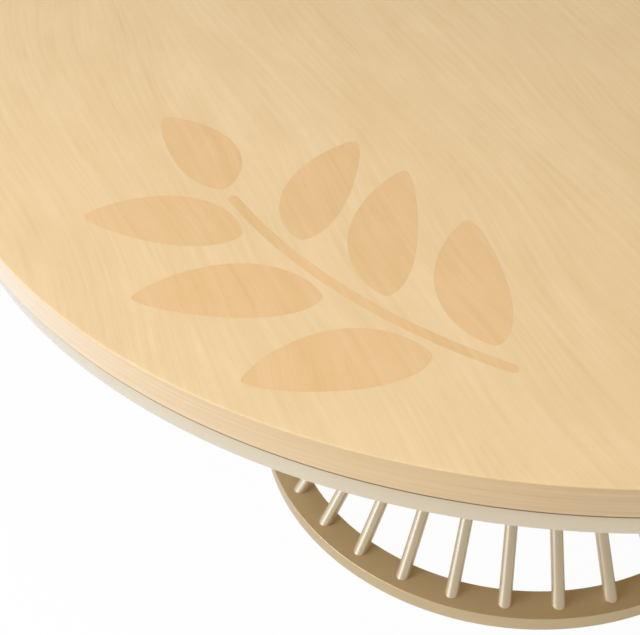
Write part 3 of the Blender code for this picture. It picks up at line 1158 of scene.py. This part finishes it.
@dataclass
class Pedestal(SubAssembly):
    """Hourglass cage of rods between two flat rings, with a hoop at its waist and bolts into the top."""

    base_radius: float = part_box("base_ring")[1].x
    base_bottom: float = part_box("base_ring")[0].z
    base_top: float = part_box("base_ring")[1].z
    crown_bottom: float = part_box("top_ring")[0].z
    crown_top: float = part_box("top_ring")[1].z
    foot_radius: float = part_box("rod_01")[1].y  # half the thickness of a rod at its ends
    waist_inside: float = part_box("rod_01")[0].x
    hoop_outside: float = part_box("waist_hoop")[1].x
    ring_width: float = 0.050
    rounding: float = 0.0010
    rod_count: int = 32
    rod_offset: float = 0.002  # rod axis at its foot, inside the ring's middle circle
    waist_radius: float = 0.008  # half the thickness of a rod at the waist
    bend_softness: float = 0.050
    rod_sides: int = 28
    rod_cuts: int = 23
    foot_rounding: float = 0.0012
    weld_sink: float = 0.0002
    hoop_bar: float = 0.005
    hoop_sides: int = 20
    bolt: ButtonScrew = TOP_BOLT
    bolt_count: int = 4
    recess_radius: float = 0.0163
    recess_depth: float = 0.0065
    stud_hole_radius: float = 0.0043
    stud_hole_depth: float = 0.0225

    @property
    def middle_radius(self) -> float:
        """Gives the radius of the rings' middle circle."""
        return self.base_radius - self.ring_width / 2

    def build(self) -> list[bpy.types.Object]:
        """Builds the pedestal's pieces.

        Returns:
            The rings, the hoop, the rods and the bolts.
        """
        return [
            self.base_ring(),
            self.crown_ring(),
            self.hoop(),
            *(self.rod(number) for number in range(1, self.rod_count + 1)),
            *self.bolts(),
        ]

    def ring(self, bottom: float, top: float) -> BMesh:
        """Models a flat ring with rounded edges.

        Args:
            bottom: height of its underside.
            top: height of its upper face.

        Returns:
            The mesh.
        """
        inner = self.base_radius - self.ring_width
        outline = [(self.base_radius, top), (self.base_radius, bottom), (inner, bottom), (inner, top)]
        return turned(outline, LARGE_SEGMENTS, self.rounding)

    def between_rods(self, count: int) -> list[Matrix]:
        """Gives places round the rings' middle circle, each half way between two rods.

        Args:
            count: number of places.

        Returns:
            A turn and move for each place.
        """
        pitch = math.tau / self.rod_count
        steps = [round(i * self.rod_count / count) + 0.5 for i in range(count)]
        out = Matrix.Translation((self.middle_radius, 0.0, 0.0))
        return [Matrix.Rotation(step * pitch, 4, "Z") @ out for step in steps]

    def base_ring(self) -> bpy.types.Object:
        """Builds the base ring with a stepped recess for each glide.

        Returns:
            The piece.
        """
        ring = self.ring(self.base_bottom, self.base_top)
        piece = piece_of(ring, "floor_ring", SHADED_RING_METAL, TABLE_BODY, "base_ring")
        floor = self.base_bottom
        outline = [
            (0.0, floor - self.recess_depth),
            (self.recess_radius, floor - self.recess_depth),
            (self.recess_radius, floor + self.recess_depth),
            (self.stud_hole_radius, floor + self.recess_depth),
            (self.stud_hole_radius, floor + self.stud_hole_depth),
            (0.0, floor + self.stud_hole_depth),
        ]
        cut_out(piece, repeated(lathed(outline, SMALL_SEGMENTS), self.between_rods(GLIDE_COUNT)))
        return piece

    def crown_ring(self) -> bpy.types.Object:
        """Builds the ring that carries the top."""
        ring = self.ring(self.crown_bottom, self.crown_top)
        return piece_of(ring, "crown_ring", SHADED_RING_METAL, TABLE_BODY, "top_ring")

    def hoop(self) -> bpy.types.Object:
        """Builds the round-bar hoop at the waist.

        Returns:
            The piece.
        """
        middle = (self.base_top + self.crown_bottom) / 2
        bm = bmesh.new()
        bar = bmesh.ops.create_circle(bm, segments=self.hoop_sides, radius=self.hoop_bar)["verts"]
        stand = Matrix.Translation((self.hoop_outside - self.hoop_bar, 0.0, middle))
        bmesh.ops.transform(bm, matrix=stand @ Matrix.Rotation(math.pi / 2, 4, "X"), verts=bar)
        spun(bm, LARGE_SEGMENTS)
        return piece_of(bm, "round_bar_hoop", CHAMPAGNE_METAL, TABLE_BODY, "waist_hoop")

    def on_rod(self, place: Vector) -> Vector:
        """Moves a point of a straight round bar onto the bent and tapered rod on +X.

        Args:
            place: point of a bar of radius 1 and height -1 to 1.

        Returns:
            The point on the rod.
        """
        bottom = self.base_top - self.weld_sink
        half = (self.crown_bottom + self.weld_sink - bottom) / 2
        waist = self.waist_inside + self.waist_radius
        foot = self.middle_radius - self.rod_offset
        soft = self.bend_softness
        lean = (foot - waist) / (math.hypot(half, soft) - soft)
        rise = place.z * half
        reach = math.hypot(rise, soft)
        radius = self.waist_radius + (self.foot_radius - self.waist_radius) * abs(place.z)
        along = waist + lean * (reach - soft) + place.x * radius * math.hypot(1.0, lean * rise / reach)
        return Vector((along, place.y * radius, bottom + half + rise))

    def rod(self, number: int) -> bpy.types.Object:
        """Builds a rod.

        Args:
            number: its number, anticlockwise from 1 on +X.

        Returns:
            The piece.
        """
        bm = bmesh.new()
        bmesh.ops.create_cone(bm, cap_ends=True, segments=self.rod_sides, radius1=1.0, radius2=1.0, depth=2.0)
        sides = [edge for edge in bm.edges if edge.verts[0].co.z * edge.verts[1].co.z < 0.0]
        ends = [edge for edge in bm.edges if edge.verts[0].co.z * edge.verts[1].co.z > 0.0]
        bmesh.ops.subdivide_edges(bm, edges=sides, cuts=self.rod_cuts)
        for vert in bm.verts:
            vert.co = self.on_rod(vert.co)
        rounded(bm, ends, "EDGES", self.foot_rounding)
        turn = Matrix.Rotation(math.tau * (number - 1) / self.rod_count, 4, "Z")
        bmesh.ops.transform(bm, matrix=turn, verts=bm.verts[:])
        return piece_of(bm, f"cage_rod_{number:02d}", CHAMPAGNE_METAL, TABLE_BODY, f"rod_{number:02d}")

    def bolts(self) -> list[bpy.types.Object]:
        """Builds the bolts that hold the top.

        Returns:
            The pieces.
        """
        pieces = []
        lift = Matrix.Translation((0.0, 0.0, self.crown_bottom))
        for number, place in enumerate(self.between_rods(self.bolt_count), start=1):
            bm = self.bolt.mesh()
            bmesh.ops.transform(bm, matrix=lift @ place, verts=bm.verts[:])
            node = f"fixing_bolt_{number}"
            pieces.append(piece_of(bm, f"button_bolt_{number}", ZINC_STEEL, TABLE_BODY, node))
        return pieces


@dataclass
class Glide(SubAssembly):
    """Levelling glide: a nylon pad and the threaded stud that turns in it."""

    number: int
    socket_radius: float = 0.0043
    socket_depth: float = 0.003
    rounding: float = 0.0012
    pitch: float = 0.00125
    thread_depth: float = 0.00065
    steps_per_turn: int = 24

    def build(self) -> list[bpy.types.Object]:
        """Builds the pad and the stud."""
        return [self.pad(), self.stud()]

    def pad(self) -> bpy.types.Object:
        """Builds the pad with its socket for the stud.

        Returns:
            The piece.
        """
        node = f"glide_pad_{self.number}"
        low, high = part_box(node)
        radius = (high.x - low.x) / 2
        middle = (low + high) / 2
        centre = (radius - self.rounding, low.z + self.rounding)
        corner = arc(centre, (self.rounding, self.rounding), -math.pi / 2, 0.0, CORNER_SEGMENTS)
        socket = [
            (self.socket_radius, high.z),
            (self.socket_radius, high.z - self.socket_depth),
            (0.0, high.z - self.socket_depth),
        ]
        bm = lathed([(0.0, low.z)] + corner + [(radius, high.z)] + socket, SMALL_SEGMENTS)
        bmesh.ops.translate(bm, verts=bm.verts[:], vec=(middle.x, middle.y, 0.0))
        return piece_of(bm, f"nylon_pad_{self.number}", DARK_NYLON, f"pad_{self.number}", node)

    def stud(self) -> bpy.types.Object:
        """Builds the stud, its thread as one helix cut level at both ends.

        Returns:
            The piece.
        """
        node = f"glide_stud_{self.number}"
        low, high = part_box(node)
        radius = (high.x - low.x) / 2
        middle = (low + high) / 2
        root = radius - self.thread_depth
        turns = math.ceil((high.z - low.z) / self.pitch) + 2  # one to spare at each end
        start = low.z - self.pitch
        heights = (start, start + self.pitch / 2, start + self.pitch)
        bm = bmesh.new()
        section = [bm.verts.new((r, 0.0, z)) for r, z in zip((root, radius, root), heights)]
        edges = [bm.edges.new(pair) for pair in zip(section, section[1:])]
        bmesh.ops.spin(
            bm, geom=section + edges, axis=UP, dvec=(0.0, 0.0, self.pitch / self.steps_per_turn),
            angle=math.tau * turns, steps=self.steps_per_turn * turns,
        )
        bmesh.ops.remove_doubles(bm, verts=bm.verts[:], dist=MERGE_DISTANCE)
        for height, way in ((low.z, DOWN), (high.z, UP)):
            geom = bm.verts[:] + bm.edges[:] + bm.faces[:]
            bmesh.ops.bisect_plane(bm, geom=geom, plane_co=(0.0, 0.0, height), plane_no=way, clear_outer=True)
        bmesh.ops.holes_fill(bm, edges=open_edges(bm))
        bmesh.ops.recalc_face_normals(bm, faces=bm.faces[:])
        bmesh.ops.translate(bm, verts=bm.verts[:], vec=(middle.x, middle.y, 0.0))
        return piece_of(bm, f"threaded_stud_{self.number}", ZINC_STEEL, f"stud_{self.number}", node)


@dataclass(frozen=True)
class Softbox:
    """Large soft lamp, or a card that shows in glossy surfaces alone."""

    name: str
    place: Triple
    target: Triple
    size: tuple[float, float]
    watts: float
    colour: Colour = (1.0, 1.0, 1.0)
    mirrored: bool = True  # whether glossy surfaces show it
    card: bool = False  # whether nothing but glossy surfaces shows it

    def build(self) -> None:
        """Hangs the lamp and aims it."""
        data = bpy.data.lights.new(self.name, "AREA")
        data.shape = "RECTANGLE"
        data.size, data.size_y = self.size
        data.energy = self.watts
        data.color = self.colour
        lamp = new_object(self.name, data)
        lamp.location = self.place
        lamp.visible_glossy = self.mirrored
        lamp.visible_diffuse = not self.card
        aim = Vector(self.target) - Vector(self.place)
        lamp.rotation_euler = aim.to_track_quat("-Z", "Y").to_euler()


@dataclass
class Studio:
    """Pale floor, white surroundings, soft lamps and the camera."""

    floor_size: float = 40.0
    floor_colour: Colour = (0.82, 0.81, 0.80)
    floor_glow: float = 0.97  # share of plain white that the camera sees in the floor
    mirrored_glow: float = 0.55  # the same share in reflections of the floor
    surroundings_glow: float = 0.965  # share of plain white past the floor, level with the far floor
    mirrored_surroundings: float = 0.36  # the same share in reflections of the surroundings
    ambient: float = 0.38
    ambient_colour: Colour = (1.0, 0.965, 0.90)
    camera_place: Triple = (-0.0554, -1.5520, 1.6022)
    camera_heading: float = math.radians(10.04)
    camera_tilt: float = math.radians(41.69)  # below the horizon
    camera_roll: float = math.radians(-2.04)
    camera_lens: float = 72.5  # millimetres
    camera_sensor: float = 36.0  # millimetres
    lamps: tuple[Softbox, ...] = (
        Softbox(
            "key_left", place=(-3.2, -1.6, 2.4), target=(0.0, -0.2, 0.5), size=(2.4, 2.4), watts=105.0,
            colour=(0.90, 1.0, 1.16),
        ),
        Softbox(
            "over_front", place=(-0.3, -1.4, 3.0), target=(0.0, -0.5, 0.7), size=(1.8, 1.8), watts=33.0,
            mirrored=False,
        ),
        Softbox("back_wide", place=(0.0, 3.4, 1.8), target=(0.0, 0.0, 0.7), size=(4.0, 2.0), watts=5.0),
        Softbox(
            "low_card", place=(-2.0, -1.8, 0.4), target=(0.15, -0.4, 0.1), size=(1.5, 0.8), watts=5.5,
            colour=(0.55, 0.78, 1.25), card=True,
        ),
    )

    def build(self) -> None:
        """Builds the studio."""
        bpy.context.scene.view_settings.view_transform = "Standard"
        self.floor()
        self.surroundings()
        for lamp in self.lamps:
            lamp.build()
        self.camera()

    @staticmethod
    def whiteness(wiring: Wiring, looked_at: float, mirrored: float) -> Socket:
        """Adds a test of the ray, which tells how white it shows the background.

        Args:
            wiring: adds the nodes.
            looked_at: share of plain white for camera rays.
            mirrored: share for glossy and transmission rays.

        Returns:
            A socket with the share, which is 0 for the other rays.
        """
        path = wiring.add("ShaderNodeLightPath").outputs
        indirect = wiring.math("MAXIMUM", path["Is Glossy Ray"], path["Is Transmission Ray"])
        seen = wiring.math("MULTIPLY", path["Is Camera Ray"], looked_at)
        return wiring.math("MAXIMUM", seen, wiring.math("MULTIPLY", indirect, mirrored))

    def floor(self) -> None:
        """Lays the pale floor, which is open from below and keeps a faint shadow."""
        bm = bmesh.new()
        bmesh.ops.create_grid(bm, x_segments=1, y_segments=1, size=self.floor_size / 2)
        floor = new_object("studio_floor", mesh_of(bm, "studio_floor"))
        material = bpy.data.materials.new("studio_floor")
        wiring = Wiring.of(material)
        matt = wiring.add("ShaderNodeBsdfDiffuse", {"Color": (*self.floor_colour, 1.0)})
        white = wiring.add("ShaderNodeEmission", {"Color": WHITE, "Strength": 1.0})
        share = self.whiteness(wiring, self.floor_glow, self.mirrored_glow)
        lit = wiring.add("ShaderNodeMixShader", {0: share, 1: matt.outputs[0], 2: white.outputs[0]})
        below = wiring.add("ShaderNodeNewGeometry").outputs["Backfacing"]
        clear = wiring.add("ShaderNodeBsdfTransparent")
        both = wiring.add("ShaderNodeMixShader", {0: below, 1: lit.outputs[0], 2: clear.outputs[0]})
        wiring.add("ShaderNodeOutputMaterial", {"Surface": both.outputs[0]})
        floor.data.materials.append(material)

    def surroundings(self) -> None:
        """Makes the world: white to look at, softer as a light."""
        world = bpy.data.worlds.new("white_surroundings")
        wiring = Wiring.of(world)
        ambient = {"Color": (*self.ambient_colour, 1.0), "Strength": self.ambient}
        light = wiring.add("ShaderNodeBackground", ambient)
        white = wiring.add("ShaderNodeBackground", {"Color": WHITE, "Strength": 1.0})
        share = self.whiteness(wiring, self.surroundings_glow, self.mirrored_surroundings)
        both = wiring.add("ShaderNodeMixShader", {0: share, 1: light.outputs[0], 2: white.outputs[0]})
        wiring.add("ShaderNodeOutputWorld", {"Surface": both.outputs[0]})
        bpy.context.scene.world = world

    def camera(self) -> None:
        """Sets up the camera at the photograph's viewing angle."""
        data = bpy.data.cameras.new("camera")
        data.sensor_width = self.camera_sensor
        data.lens = self.camera_lens
        camera = new_object("camera", data)
        turn = Matrix.Rotation(self.camera_heading, 4, "Z")
        tilt = Matrix.Rotation(math.pi / 2 - self.camera_tilt, 4, "X")
        roll = Matrix.Rotation(self.camera_roll, 4, "Z")
        camera.matrix_world = Matrix.Translation(self.camera_place) @ turn @ tilt @ roll
        bpy.context.scene.camera = camera


def main() -> None:
    """Builds the studio and the table, and reports each piece."""
    logging.basicConfig(level=logging.INFO, format="%(name)s: %(message)s")
    Studio().build()
    glides = [Glide(number) for number in range(1, GLIDE_COUNT + 1)]
    for assembly in (TableTop(), Apron(), Pedestal(), *glides):
        for piece in assembly.build():
            LOG.info("%s %s, %d faces", type(assembly).__name__, piece.name, len(piece.data.polygons))


if __name__ == "__main__":
    main()
